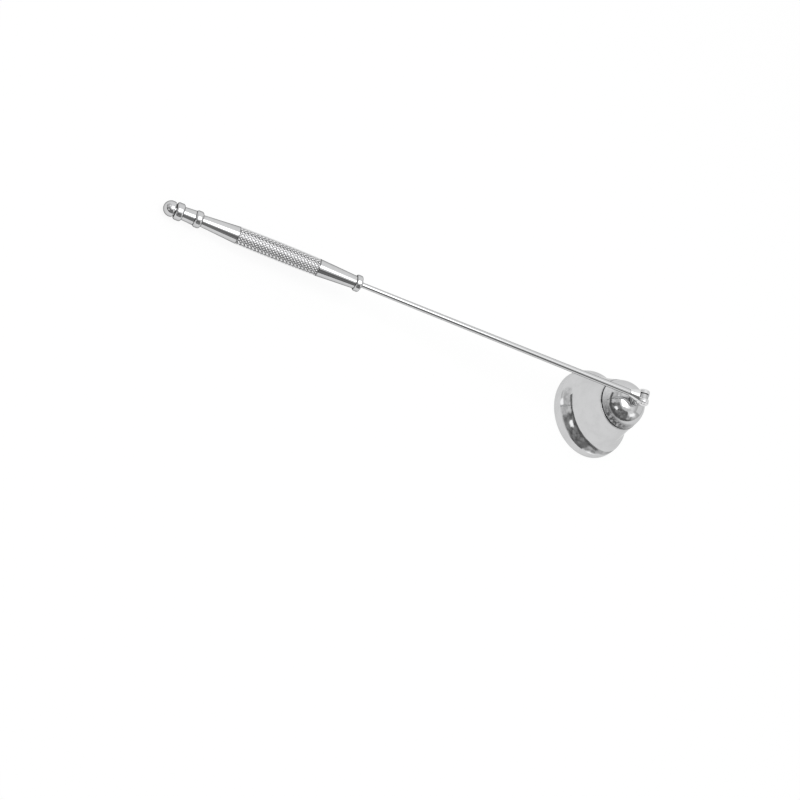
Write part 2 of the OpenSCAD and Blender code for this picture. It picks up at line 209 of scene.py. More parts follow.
# What the metal mirrors inside the white tent: the middle and half width of each card in azimuth, its lower and
# upper edge in elevation, the softness of its edges, all in degrees, its brightness and how mottled it is
CARD_FIELDS = ("Middle", "Half width", "Low", "High", "Softness", "Brightness", "Mottle")
CARDS = (
    ("side_wall", 168, 38, 9, 52, 12, 0.7, 0.5),
    ("lamp", 162, 9, 37, 50, 5, 1.35, 0),
    ("dark_room", 244, 48, 0, 52, 8, 0.24, 1.3),
    ("glint", 225, 9, 18, 30, 4, 1.4, 0),
    ("half_dark_corner", 304, 20, -4, 32, 10, 0.42, 1.0),
    ("dark_corner", 288, 9, -8, 52, 6, 0.18, 0.5),
    ("far_corner", 328, 12, -4, 14, 10, 0.5, 0.4),
    ("window", 324, 15, 25, 42, 8, 1.45, 0),
    ("skirting", 235, 88, 2, 10, 4, 0.13, 0.8),
    ("grey_roof", 250, 90, 55, 70, 10, 0.75, 0.2),
    ("front_box", 214, 30, 60, 76, 5, 1.35, 0),
    ("ceiling", 230, 180, 68, 95, 6, 1.4, 0),
    ("back_wall", 12, 30, -40, 50, 16, 0.55, 0),
)

PHOTO_WIDTH = 800
ALL_ROUND = 1000.0
SENSOR_MM = 36
# Where the middle of the bell's foot lies from the middle of the photograph, in its pixels
FOOT_PX = Vector((188.38, 14.305))

# Two points of an outline closer than this are one, and so are two corners of a mesh
SAME_POINT = 0.002 * MM
# The exact union of the stud loses its turned part about once in 25 times, so the stud is then made again
STUD_TRIES = 8
MERGE = 0.001 * MM
# Gap round a stem that is pressed in, and round the pin that turns
PRESS_GAP = 0.015 * MM
RUN_GAP = 0.05 * MM
# The rod's hidden ends: their radius, and how far they reach into the knuckle's neck and into the grip
TAIL_R = 0.9 * MM
TONGUE_LEN = 2.6 * MM
TAIL_LEN = 15 * MM
# Share of a collar's length that each of its round edges takes
BEAD_ROUND = 0.42
# The knurling's grooves, flanks and worn points: how far in each goes, as a share of a diamond's width, and how far
# up, as a share of the knurling's depth
KNURL_CUTS = ((0.035, 0), (0.2, 0.74), (0.06, 0.12))
# What a smear does to the plating: a factor on its colour, a factor on its roughness and a little more of it
SMEAR_TINT = 0.93
SMEAR_ROUGH = 1.8
SMEAR_EXTRA = 0.02
# The table's own glow, and how much of it the camera and the metal see
TABLE_GLOW = 1.08
CAMERA_SHARE = 0.8
MIRROR_SHARE = 0.66
# Steps round the turned pieces, and round the bores and the rod
BELL_STEPS = 160
HANDLE_STEPS = 96
SMALL_STEPS = 64
BORE_STEPS = 48


def settings():
    """The add-on's property groups"""
    scene = bpy.context.scene
    return scene.snuffer_bell, scene.snuffer_handle, scene.snuffer_finish, scene.snuffer_stage


def mode(name):
    """Goes into edit mode or back to object mode"""
    bpy.ops.object.mode_set(mode=name)


def deselect_all():
    """Leaves edit mode and selects nothing"""
    if bpy.context.object and bpy.context.object.mode != "OBJECT":
        mode("OBJECT")
    bpy.ops.object.select_all(action="DESELECT")


def focus(piece):
    """Selects one piece and makes it active"""
    deselect_all()
    bpy.context.view_layer.objects.active = piece
    piece.select_set(True)


def face_outwards():
    """Selects the whole mesh in edit mode and turns its faces outwards"""
    bpy.ops.mesh.select_all(action="SELECT")
    bpy.ops.mesh.normals_make_consistent(inside=False)


def unselect(mesh):
    """Selects nothing in a mesh"""
    for item in (*mesh.vertices, *mesh.edges, *mesh.polygons):
        item.select = False


def cubic(a, b, c, d, n):
    """Points on a cubic curve from a to d with the handles b and c"""
    a, b, c, d = Vector(a), Vector(b), Vector(c), Vector(d)
    points = []
    for i in range(n + 1):
        t = i / n
        s = 1 - t
        points.append(s**3 * a + 3 * s * s * t * b + 3 * s * t * t * c + t**3 * d)
    return points


def arc(centre, radius, start, stop, n):
    """Points on a circle about a centre, between two angles in degrees"""
    points = []
    for i in range(n + 1):
        w = math.radians(start + (stop - start) * i / n)
        points.append(Vector(centre) + radius * Vector((math.cos(w), math.sin(w))))
    return points


def cone(start, size, start_d, stop_d, n):
    """Points down a straight taper, close enough together for an even shine"""
    points = []
    for i in range(n + 1):
        share = i / n
        points.append(((start_d * (1 - share) + stop_d * share) / 2, start + size * share))
    return points


def bead(start, size, d, foot_d):
    """Outline of a collar with round edges between two distances"""
    edge = min(size * BEAD_ROUND, (d - foot_d) * 0.5)
    r = d / 2 - edge
    return arc((r, start + edge), edge, -90, 0, 10) + arc((r, start + size - edge), edge, 0, 90, 10)


def without_doubles(points):
    """The outline with points dropped that repeat the one before"""
    kept = [Vector(points[0])]
    for p in points[1:]:
        if (Vector(p) - kept[-1]).length > SAME_POINT:
            kept.append(Vector(p))
    return kept


def turned(name, outline, steps):
    """A closed turned shape. Its outline of (radius, height) points is drawn step by step and spun about Z"""
    outline = without_doubles(outline)
    deselect_all()
    bpy.ops.mesh.primitive_plane_add(size=MM, location=(0, 0, 0))
    piece = bpy.context.object
    piece.name = name
    mode("EDIT")
    bpy.ops.mesh.select_mode(type="VERT")
    bpy.ops.mesh.merge(type="CENTER")
    bpy.ops.transform.translate(value=(outline[0].x, 0, outline[0].y))
    for a, b in zip(outline, outline[1:]):
        bpy.ops.mesh.extrude_region_move(TRANSFORM_OT_translate={"value": (b.x - a.x, 0, b.y - a.y)})
    bpy.ops.mesh.select_all(action="SELECT")
    bpy.ops.mesh.spin(steps=steps, angle=math.tau, center=(0, 0, 0), axis=(0, 0, 1))
    bpy.ops.mesh.select_all(action="SELECT")
    bpy.ops.mesh.remove_doubles(threshold=MERGE)
    face_outwards()
    mode("OBJECT")
    return piece


def settled(name):
    """The new piece, named, with its place and size put into its mesh"""
    bpy.ops.object.transform_apply(location=True, rotation=True, scale=True)
    bpy.context.object.name = name
    return bpy.context.object


def cylinder(name, radius, start, stop, direction, vertices):
    """A plain cylinder between two distances along Y or Z, used as a start or as a cutter"""
    deselect_all()
    middle = (start + stop) / 2
    place, turn = ((0, middle, 0), math.pi / 2) if direction == "Y" else ((0, 0, middle), 0)
    bpy.ops.mesh.primitive_cylinder_add(
        vertices=vertices, radius=radius, depth=stop - start, location=place, rotation=(turn, 0, 0)
    )
    return settled(name)


def block(name, low, high):
    """A box between two corners, used as a start or as a cutter"""
    deselect_all()
    low, high = Vector(low), Vector(high)
    bpy.ops.mesh.primitive_cube_add(size=1, location=(low + high) / 2, scale=high - low)
    return settled(name)


def modify(piece, kind, **values):
    """Gives a piece a modifier and applies it"""
    focus(piece)
    change = piece.modifiers.new("change", kind)
    for key, value in values.items():
        setattr(change, key, value)
    bpy.ops.object.modifier_apply(modifier=change.name)


def combine(piece, tool, operation):
    """Joins a second solid to a piece or cuts it out, and removes the second"""
    modify(piece, "BOOLEAN", operation=operation, object=tool, solver="EXACT")
    bpy.data.objects.remove(tool)


def break_edges(piece, width, degrees=35, segments=3):
    """Rounds the sharp edges of a solid"""
    modify(piece, "BEVEL", width=width, segments=segments, limit_method="ANGLE",
           angle_limit=math.radians(degrees), use_clamp_overlap=True)


def smooth(piece, degrees=32):
    """Shades the piece smooth, with its sharp edges kept"""
    focus(piece)
    bpy.ops.object.shade_smooth_by_angle(angle=math.radians(degrees))


def marks():
    """Distances from the hinge pin at which the handle's parts start"""
    h = settings()[1]
    at, reach = {}, h.fork_len
    for name, size in (
        ("ring", h.rod_len), ("nose", h.ring_len), ("knurl", h.front_len), ("rear", h.knurl_len),
        ("collar", h.rear_len), ("neck", h.collar_len), ("end_collar", h.spindle_neck_len),
        ("groove", h.end_collar_len), ("ball", h.groove_len),
    ):
        reach += size
        at[name] = reach
    return at


def place_of(body):
    """Where a body's own axis lies: upright for the bell, and from the pin down to the ball on the table"""
    if body == "bell":
        return Matrix.Translation(BELL_FOOT)
    h = settings()[1]
    reach = marks()["ball"] + h.ball_len - h.ball_d / 2
    slope = math.asin((PIVOT.z - h.ball_d / 2) / reach)
    return Matrix.Translation(PIVOT) @ Matrix.Rotation(-math.pi / 2 - slope, 4, "Y")


def lay(piece, place):
    """Moves a piece from where it was turned to its place, and leaves its object at the origin"""
    focus(piece)
    piece.matrix_world = place
    bpy.ops.object.transform_apply(location=True, rotation=True, scale=True)


def hand_over(piece, body, node, slot, *materials):
    """Puts a finished piece in its place, plates it and lets it stand for its node"""
    lay(piece, place_of(body))
    smooth(piece)
    for material in materials:
        piece.data.materials.append(material)
    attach(piece, body)
    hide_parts(node)
    return {"FINISHED"}


# Finishes


def put(tree, socket, value):
    """Links an output to a socket, or sets the socket's own value"""
    if isinstance(value, bpy.types.NodeSocket):
        tree.links.new(value, socket)
    else:
        socket.default_value = value


def node(tree, kind, inputs, **values):
    """Adds a shader node, named without its prefix, and sets its properties and its sockets"""
    made = tree.nodes.new("ShaderNode" + kind)
    for key, value in values.items():
        setattr(made, key, value)
    for key, value in inputs.items():
        put(tree, made.inputs[key], value)
    return made


def maths(tree, operation, *values):
    """The result of a sum on numbers and outputs"""
    return node(tree, "Math", dict(enumerate(values)), operation=operation).outputs[0]


def span(tree, value, low, high, to_low=0.0, to_high=1.0, ease="LINEAR"):
    """A value carried from one range to another and held at its ends"""
    return node(tree, "MapRange", {
        "Value": value, "From Min": low, "From Max": high, "To Min": to_low, "To Max": to_high,
    }, interpolation_type=ease).outputs[0]


def either(tree, share, first, second):
    """The first number where the share is 0 and the second where it is 1"""
    return node(tree, "Mix", {0: share, 2: first, 3: second}, data_type="FLOAT").outputs[0]


def dyed(tree, share, first, second):
    """The first colour where the share is 0 and the second where it is 1"""
    return node(tree, "Mix", {0: share, 6: first, 7: second}, data_type="RGBA").outputs[2]


def uneven(tree, place, scale, detail, roughness=0.5):
    """An uneven pattern, as one value and as three of a colour"""
    return node(tree, "TexNoise", {
        "Vector": place, "Scale": scale, "Detail": detail, "Roughness": roughness,
    }).outputs


def degrees_from(tree, way, middle):
    """The angle from one direction to another, between -180 and 180 degrees"""
    return maths(tree, "WRAP", maths(tree, "SUBTRACT", way, middle), 180.0, -180.0)


def new_group(name, inputs, outputs):
    """An empty node group, what comes into it and where its results go"""
    group = bpy.data.node_groups.new(name, "ShaderNodeTree")
    for way, labels in (("INPUT", inputs), ("OUTPUT", outputs)):
        for label in labels:
            kind = "NodeSocketVector" if label == "Vector" else "NodeSocketFloat"
            group.interface.new_socket(name=label, in_out=way, socket_type=kind)
    return group, group.nodes.new("NodeGroupInput").outputs, group.nodes.new("NodeGroupOutput").inputs


def shared(tree, name, make, inputs):
    """Places the node group of that name, which is made when it is first asked for"""
    group = bpy.data.node_groups.get(name) or make()
    return node(tree, "Group", inputs, node_tree=group).outputs


def polish_marks_group():
    """Marks left by polishing: fine lines across the given stretch, smears and a faint waviness.
    Puts out a height for the bump and a mask for the roughness."""
    group, enter, leave = new_group(
        "polish_marks", ("Vector", "Line scale", "Wave scale", "Line height", "Wave height"), ("Height", "Smear")
    )
    lines = uneven(group, enter["Vector"], enter["Line scale"], detail=2.0)["Fac"]
    waves = uneven(group, enter["Vector"], enter["Wave scale"], detail=1.0)["Fac"]
    smears = uneven(group, enter["Vector"], scale=210.0, detail=5.0, roughness=0.6)["Fac"]
    line_part = maths(group, "MULTIPLY", lines, enter["Line height"])
    wave_part = maths(group, "MULTIPLY", waves, enter["Wave height"])
    put(group, leave["Height"], maths(group, "ADD", line_part, wave_part))
    put(group, leave["Smear"], span(group, smears, 0.42, 0.72))
    return group


def grime_and_shade_band_group():
    """A soft band of grime and painted shade round a turned piece, at a distance along its axis, over the bands
    before it.

    It is strongest on one side, given in degrees, and with a large spread it goes all round
    """
    group, enter, leave = new_group("grime_and_shade_band", (
        "Before", "Along", "Noise", "Middle", "Width", "Strength", "Around", "Side", "Spread",
    ), ("Mask",))

    def fade(distance, reach):
        """1 near the band's middle and 0 past its reach, with a torn edge"""
        share = maths(group, "DIVIDE", maths(group, "ABSOLUTE", distance), reach)
        return span(group, maths(group, "ADD", share, enter["Noise"]), 1.6, 0.8, ease="SMOOTHSTEP")

    along = fade(maths(group, "SUBTRACT", enter["Along"], enter["Middle"]), enter["Width"])
    around = fade(degrees_from(group, enter["Around"], enter["Side"]), enter["Spread"])
    specks = span(group, enter["Noise"], 0.38, 0.58, 0.45, 1.0)
    band = maths(group, "MULTIPLY", maths(group, "MULTIPLY", along, around), specks)
    strong = maths(group, "MULTIPLY", band, enter["Strength"])
    put(group, leave["Mask"], maths(group, "MAXIMUM", enter["Before"], strong))
    return group


def soft_card_group():
    """A soft-edged card in a tent, by direction in degrees. It lies over what is behind it"""
    group, enter, leave = new_group(
        "soft_card", ("Behind", "Azimuth", "Elevation", "Clutter", *CARD_FIELDS), ("Brightness",)
    )

    def step(value, limit):
        """0 below a limit and 1 above it, over the given softness"""
        share = maths(group, "DIVIDE", maths(group, "SUBTRACT", value, limit), enter["Softness"])
        return span(group, share, -0.5, 0.5, ease="SMOOTHSTEP")

    aside = maths(group, "ABSOLUTE", degrees_from(group, enter["Azimuth"], enter["Middle"]))
    wide = step(enter["Half width"], aside)
    tall = maths(group, "MULTIPLY", step(enter["Elevation"], enter["Low"]), step(enter["High"], enter["Elevation"]))
    mottled = maths(group, "MULTIPLY_ADD", enter["Clutter"], enter["Mottle"], 1.0)
    shade = maths(group, "MULTIPLY", mottled, enter["Brightness"])
    put(group, leave["Brightness"], either(group, maths(group, "MULTIPLY", wide, tall), enter["Behind"], shade))
    return group


def metal(name, body, edge):
    """A new metal, its tree, its shader's sockets, and the place on the piece in the frame that it was turned in"""
    material = bpy.data.materials.new(name)
    material.use_nodes = True
    tree = material.node_tree
    shader = tree.nodes["Principled BSDF"]
    shader.inputs["Metallic"].default_value = 1
    # Painted shade: a low edge tint darkens the metal along its outlines
    shader.inputs["Specular Tint"].default_value = (edge, edge, edge, 1)
    own = place_of(body).inverted()
    as_turned = node(tree, "Mapping", {
        "Vector": node(tree, "TexCoord", {}).outputs["Object"],
        "Location": own.translation,
        "Rotation": own.to_euler(),
    })
    return material, tree, shader.inputs, as_turned.outputs[0]


def cover(tree, sockets, colour, roughness, height, strength, distance):
    """Gives a metal its colour, its roughness and the height of its fine relief"""
    bump = node(tree, "Bump", {"Height": height, "Strength": strength, "Distance": distance})
    put(tree, sockets["Base Color"], colour)
    put(tree, sockets["Roughness"], roughness)
    put(tree, sockets["Normal"], bump.outputs[0])


def plating(name, body, tint, polish, stretch, wave=1.0, line=0.3, seams=(), edge=None):
    """Polished plating. stretch squeezes the marks along the piece's own axes, so that they run as it was polished.

    seams are the bands of grime and painted shade in grooves and joints, and of painted dark reflection on the dome:
    the distance along the own axis, the width and the strength, and for a band on one side also that side and its
    spread in degrees. edge is how bright the metal stays seen edge on
    """
    if name in bpy.data.materials:
        return bpy.data.materials[name]
    finish = settings()[2]
    material, tree, sockets, as_turned = metal(name, body, finish.edge_tint if edge is None else edge)
    squeezed = node(tree, "Mapping", {"Vector": as_turned, "Scale": stretch}).outputs[0]
    traces = shared(tree, "polish_marks", polish_marks_group, {
        "Vector": squeezed, "Line scale": 900.0, "Wave scale": 90.0, "Line height": line, "Wave height": wave,
    })
    part = node(tree, "SeparateXYZ", {0: as_turned}).outputs
    around = maths(tree, "DEGREES", maths(tree, "ARCTAN2", part["Y"], part["X"]))
    tear = uneven(tree, as_turned, scale=1100.0, detail=3.0)["Fac"]
    grime_and_shade = 0.0
    for middle, width, strength, *sector in seams:
        side, spread = sector or (0.0, ALL_ROUND)
        grime_and_shade = shared(tree, "grime_and_shade_band", grime_and_shade_band_group, {
            "Before": grime_and_shade, "Along": part["Z"], "Noise": tear, "Middle": middle, "Width": width,
            "Strength": strength, "Around": around, "Side": side, "Spread": spread,
        })["Mask"]
    smeared = [c * SMEAR_TINT for c in tint]
    tone = dyed(tree, traces["Smear"], (*tint, 1), (*smeared, 1))
    # Painted shade: the bands darken the plating towards the grime colour in grooves, in joints and on one side of
    # the dome
    colour = dyed(tree, grime_and_shade, tone, (*finish.grime_and_shade, 1))
    roughness = span(tree, traces["Smear"], 0.0, 1.0, polish, polish * SMEAR_ROUGH + SMEAR_EXTRA)
    cover(tree, sockets, colour, roughness, traces["Height"], strength=0.1, distance=0.01 * MM)
    return material


def handle_finish():
    """Plating of the turned parts of the handle, with grime and painted shade in the groove and where two parts meet
    """
    _, h, finish, _ = settings()
    at = marks()
    groove_width, joint_width = 0.42 * MM, 0.2 * MM
    seams = [(at["groove"] + h.groove_len / 2, groove_width, 0.95)]
    for mark, strength in (
        ("ring", 0.6), ("nose", 0.7), ("knurl", 0.6), ("rear", 0.6), ("collar", 0.6), ("neck", 0.85),
        ("end_collar", 0.5),
    ):
        seams.append((at[mark], joint_width, strength))
    return plating("handle_plating", "handle", finish.plating, finish.polish, (1, 1, 2), 0.7, 0.4, seams)


def lit_knuckle_finish():
    """The plating of the knuckle and its pin, painted brighter than the rest as a highlight"""
    finish = settings()[2]
    return plating("lit_knuckle_plating", "handle", finish.knuckle, finish.polish, (1, 1, 1), 0.8,
                   edge=finish.bell_edge_tint)


def knurl_finish():
    """Plated knurling: bright on the crests, darker and duller towards the bottom of the grooves, the darkening being
    painted shade
    """
    _, h, finish, _ = settings()
    material, tree, sockets, as_turned = metal("knurl_plating", "handle", finish.knurl_edge_tint)
    flat = node(tree, "VectorMath", {0: as_turned, 1: (1, 1, 0)}, operation="MULTIPLY").outputs[0]
    radius = node(tree, "VectorMath", {0: flat}, operation="LENGTH").outputs["Value"]
    along = node(tree, "SeparateXYZ", {0: as_turned}).outputs["Z"]
    half = h.knurl_len / 2
    middle = marks()["knurl"] + half
    from_middle = maths(tree, "MULTIPLY_ADD", along, 1 / half, -middle / half)
    squared = maths(tree, "POWER", from_middle, 2.0)
    crest = maths(tree, "MULTIPLY_ADD", squared, (h.knurl_end_d - h.knurl_mid_d) / 2, h.knurl_mid_d / 2)
    below = maths(tree, "SUBTRACT", crest, radius)
    raised = span(tree, below, h.knurl_depth, h.knurl_depth * 0.7)
    wear = uneven(tree, as_turned, scale=900.0, detail=3.0)["Fac"]
    worn = maths(tree, "MULTIPLY", raised, wear)
    # Painted shade: darker towards the bottom of the grooves, where shade falls
    colour = dyed(tree, raised, (*finish.root, 1), (*finish.crest, 1))
    roughness = span(tree, raised, 0.0, 1.0, finish.knurl_polish * 2.2, finish.knurl_polish)
    cover(tree, sockets, colour, roughness, worn, strength=0.25, distance=0.03 * MM)
    return material


# Pieces of the bell


class SNUFFER_OT_bell(bpy.types.Operator):
    """Turn the bell: lip band, flare, body, waist and domed crown over a thin open wall"""

    bl_idname = "snuffer.bell"
    bl_label = "Bell"

    def execute(self, context):
        b, _, finish, _ = settings()
        mouth, core = b.mouth_d / 2, b.core_d / 2
        flare_z = b.lip_h + b.flare_h
        shoulder_z = flare_z + b.body_h
        dome_z = shoulder_z + b.waist_h
        crown_z = dome_z + b.dome_h
        ceiling_z = crown_z - b.crown_t

        def skirt(shift, end_z):
            """The wall from the lip to the shoulder. The factors are the shares that place the curves' handles"""
            lip = mouth - shift
            band = lip - b.lip_draw
            body = band - b.flare_draw
            shoulder = b.shoulder_d / 2 - shift
            lean = body - shoulder
            return (
                cubic((lip, b.lip_round), (lip, b.lip_h * 0.5), (band + b.lip_draw * 0.3, b.lip_h * 0.8),
                      (band, b.lip_h), 12)
                + cubic((band, b.lip_h), (band - b.flare_draw * 0.4, b.lip_h + b.flare_h * 0.22),
                        (body + b.flare_draw * 0.16, flare_z - b.flare_h * 0.36), (body, flare_z), 30)
                + cubic((body, flare_z), (body - lean * 0.36, flare_z + b.body_h * 0.3),
                        (shoulder + lean * 0.22, shoulder_z - b.body_h * 0.32), (shoulder, end_z), 24)
            )

        rounded = b.shoulder_round
        shoulder, waist, dome = b.shoulder_d / 2 - rounded, b.waist_d / 2, b.dome_d / 2
        eave = shoulder_z + b.waist_h * 0.3
        top = (
            arc((shoulder, shoulder_z - rounded), rounded, 0, 90, 8)
            + [(waist, shoulder_z)]
            + cubic((waist, eave), (dome, eave), (dome, shoulder_z + b.waist_h * 0.6), (dome, dome_z), 12)
            + cubic((dome, dome_z), (dome - b.dome_lean, dome_z + b.dome_h * 0.7),
                    (dome * 0.58, crown_z - b.dome_h * 0.02), (b.seat_d / 2, crown_z), 40)
        )
        ledge_z = shoulder_z - b.ledge_t
        inside = skirt(b.wall, ledge_z) + [(core, ledge_z + b.waist_h * 0.5)]
        inside += arc((core - b.core_round, ceiling_z - b.core_round), b.core_round, 0, 90, 16)
        hole = b.stud_d / 2 + PRESS_GAP
        foot, broken = mouth - b.wall, b.lip_round * 0.25
        bell = turned("bell", (
            [(foot + broken, 0)] + arc((mouth - b.lip_round, b.lip_round), b.lip_round, -90, 0, 6)
            + skirt(0, shoulder_z - rounded) + top + [(hole, crown_z), (hole, ceiling_z)] + inside[::-1]
            + [(foot, broken), (foot + broken, 0)]
        ), BELL_STEPS)
        for face in bell.data.polygons:
            centre, normal = face.center, face.normal
            radial = Vector((centre.x, centre.y, 0))
            r = radial.length
            inward = normal.dot(radial) < 0 and normal.z < 0.5
            on_wall = inward and r < mouth - b.wall * 0.9 and centre.z < shoulder_z
            in_core = inward and r < core + 0.1 * MM
            on_ceiling = normal.z < -0.5 and centre.z > b.lip_h and r < core
            face.material_index = int(on_wall or in_core or on_ceiling)
        # Height, width and strength, and for the painted dark reflection also its side and its spread in degrees
        # Painted shade: the groove's band darkens the crevice under the dome
        groove = (eave, 0.5 * MM, 0.6)
        # Painted reflection: a dark speckled band on one side of the dome's lower part stands in for the dark room
        # that it mirrors
        painted_dark_reflection = (dome_z + 1.1 * MM, 2.6 * MM, 0.95, 246.0, 78.0)
        outer = plating("bell_plating", "bell", finish.plating, finish.polish, (1, 1, 1.6), 1.0, 0.12,
                        (groove, painted_dark_reflection), finish.bell_edge_tint)
        inner = plating("bell_inside_plating", "bell", finish.inside, finish.dull, (1, 1, 3), 0.4, 0.8)
        return hand_over(bell, "bell", "bell_shell", "polished_bell", outer, inner)


class SNUFFER_OT_stud(bpy.types.Operator):
    """Make the stud: flange, post and eye above the crown, thread below it"""

    bl_idname = "snuffer.stud"
    bl_label = "Stud"

    def execute(self, context):
        b, h, finish, _ = settings()
        crown_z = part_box("bell_shell")[1].z
        ceiling_z = crown_z - b.crown_t
        end_z = ceiling_z - b.nut_h - b.stud_end
        shank, tip = b.stud_d / 2, 0.3 * MM
        thread_root = shank - 0.22 * MM
        outline = [(0, end_z), (shank - tip, end_z)]
        for i in range(int((ceiling_z - end_z - tip) / b.thread_pitch)):
            z = end_z + tip + i * b.thread_pitch
            outline += [(shank, z), (thread_root, z + b.thread_pitch / 2)]
        outline += [(shank, ceiling_z), (shank, crown_z)]
        outline += bead(crown_z, b.flange_t, b.flange_d, b.flange_d - b.flange_t)
        for _ in range(STUD_TRIES):
            stud = turned("hinge_stud", outline + [(0, crown_z + b.flange_t)], SMALL_STEPS)
            post = block("post", (-b.post_w / 2, -b.eye_t / 2, crown_z + b.flange_t / 2),
                         (b.post_w / 2, b.eye_t / 2, PIVOT.z))
            eye_place = Matrix.Translation((0, 0, PIVOT.z))
            for name, radius, half, vertices, operation in (
                ("eye", b.eye_d / 2, b.eye_t / 2, 72, "UNION"),
                ("bore", h.pin_d / 2 + RUN_GAP, b.eye_t, BORE_STEPS, "DIFFERENCE"),
            ):
                tool = cylinder(name, radius, -half, half, "Y", vertices)
                lay(tool, eye_place)
                combine(post, tool, operation)
            break_edges(post, 0.12 * MM)
            combine(stud, post, "UNION")
            heights = [vertex.co.z for vertex in stud.data.vertices]
            if min(heights) < ceiling_z and max(heights) > PIVOT.z:
                break
            bpy.data.objects.remove(stud)
        else:
            raise RuntimeError("The stud lost one of its two solids in every try")
        material = plating("stud_plating", "bell", finish.plating, finish.polish, (1, 1, 1), 0.6)
        return hand_over(stud, "bell", "bell_stud", "polished_fittings", material)


class SNUFFER_OT_nut(bpy.types.Operator):
    """Make the hexagon nut inside the crown"""

    bl_idname = "snuffer.nut"
    bl_label = "Nut"

    def execute(self, context):
        b, _, finish, _ = settings()
        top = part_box("bell_shell")[1].z - b.crown_t
        base = top - b.nut_h
        corner, flat = b.nut_af / math.sqrt(3), b.nut_af / 2
        nut = cylinder("stud_hexagon_nut", corner, base, top, "Z", 6)
        focus(nut)
        mode("EDIT")
        bpy.ops.mesh.select_all(action="SELECT")
        bpy.ops.transform.rotate(value=math.pi / 6, orient_axis="Z", center_override=(0, 0, 0))
        mode("OBJECT")
        beyond = corner * 1.001
        chamfered = turned("nut_turning", [
            (0, base), (flat, base), (beyond, base + (corner - flat)), (beyond, top), (0, top),
        ], 72)
        combine(nut, chamfered, "INTERSECT")
        bore = cylinder("bore", b.stud_d / 2 + PRESS_GAP, base - MM, top + MM, "Z", SMALL_STEPS)
        combine(nut, bore, "DIFFERENCE")
        break_edges(nut, 0.08 * MM, 25, 2)
        material = plating("turned_steel", "bell", finish.steel, finish.dull, (4, 4, 0.6), 0.3, 1.0)
        return hand_over(nut, "bell", "stud_nut", "plain_nut", material)


# Pieces of the handle


class SNUFFER_OT_knuckle(bpy.types.Operator):
    """Make the knuckle on the rod's end: two round cheeks with a slot, and a neck"""

    bl_idname = "snuffer.knuckle"
    bl_label = "Knuckle"

    def execute(self, context):
        h = settings()[1]
        half_w, r = h.knuckle_w / 2, h.knuckle_round
        edge, neck, neck_end = h.knuckle_d / 2 - r, h.neck_d / 2, h.neck_end_d / 2
        outline = [(0, -half_w)] + arc((edge, r - half_w), r, -90, 0, 10) + arc((edge, half_w - r), r, 0, 90, 10)
        knuckle = turned("knuckle", outline + [(0, half_w)], HANDLE_STEPS)
        lay(knuckle, Matrix.Rotation(math.pi / 2, 4, "X"))
        outline = [(0, 0), (neck, 0)]
        outline += cubic((neck, h.slot_floor), (neck, h.slot_floor + h.fork_len * 0.25),
                         (neck_end, h.fork_len * 0.72), (neck_end, h.fork_len), 16)
        combine(knuckle, turned("neck", outline + [(0, h.fork_len)], HANDLE_STEPS), "UNION")
        slot = block("slot", (-h.knuckle_d, -h.slot_w / 2, -h.knuckle_d), (h.knuckle_d, h.slot_w / 2, h.slot_floor))
        combine(knuckle, slot, "DIFFERENCE")
        bore = cylinder("bore", h.pin_d / 2 + PRESS_GAP, -h.knuckle_w, h.knuckle_w, "Y", BORE_STEPS)
        combine(knuckle, bore, "DIFFERENCE")
        break_edges(knuckle, 0.1 * MM, 40)
        return hand_over(knuckle, "handle", "rod_fork", "polished_fittings", lit_knuckle_finish())


class SNUFFER_OT_pin(bpy.types.Operator):
    """Make the hinge pin with its two low round heads"""

    bl_idname = "snuffer.pin"
    bl_label = "Hinge pin"

    def execute(self, context):
        h = settings()[1]
        half_w, r, head, rise = h.knuckle_w / 2, h.pin_d / 2, h.pin_head_d / 2, h.pin_head_h
        low, high = [], []
        for i in range(1, 11):
            w = math.radians(9 * i)
            low.append((head * math.sin(w), -half_w - rise * math.cos(w)))
            high.append((head * math.sin(w), half_w + rise * math.cos(w)))
        outline = [(0, -half_w - rise)] + low + [(r, -half_w), (r, half_w)] + high[::-1] + [(0, half_w + rise)]
        pin = turned("rivet", outline, SMALL_STEPS)
        lay(pin, Matrix.Rotation(math.pi / 2, 4, "X"))
        return hand_over(pin, "handle", "hinge_pin", "polished_fittings", lit_knuckle_finish())


class SNUFFER_OT_rod(bpy.types.Operator):
    """Turn the long thin rod"""

    bl_idname = "snuffer.rod"
    bl_label = "Rod"

    def execute(self, context):
        _, h, finish, _ = settings()
        start, stop = h.fork_len, marks()["ring"]
        outline = [(0, start - TONGUE_LEN), (TAIL_R, start - TONGUE_LEN), (TAIL_R, start)]
        outline += cone(start, h.rod_len, h.rod_d, h.rod_end_d, 60)
        outline += [(TAIL_R, stop), (TAIL_R, stop + TAIL_LEN), (0, stop + TAIL_LEN)]
        rod = turned("long_rod", outline, BORE_STEPS)
        material = plating("rod_plating", "handle", finish.plating, finish.polish, (3, 3, 0.12), 0.8, 0.5)
        return hand_over(rod, "handle", "rod", "polished_rod", material)


class SNUFFER_OT_ring(bpy.types.Operator):
    """Turn the ring in front of the grip"""

    bl_idname = "snuffer.ring"
    bl_label = "Front ring"

    def execute(self, context):
        h, at = settings()[1], marks()
        start, stop, nose = at["ring"], at["nose"], h.nose_d / 2
        lead = h.ring_len * 0.2
        hole = TAIL_R + PRESS_GAP
        foot = (h.rod_end_d + lead) / 2
        slope = (nose - foot) / h.ring_len
        outline = [(hole, start), (foot, start), (foot + slope * lead, start + lead)]
        outline += bead(start + lead, h.ring_len - lead, h.ring_d, h.nose_d)
        ring = turned("bead_ring", outline + [(nose, stop), (hole, stop), (hole, start)], HANDLE_STEPS)
        return hand_over(ring, "handle", "front_ring", "polished_handle", handle_finish())


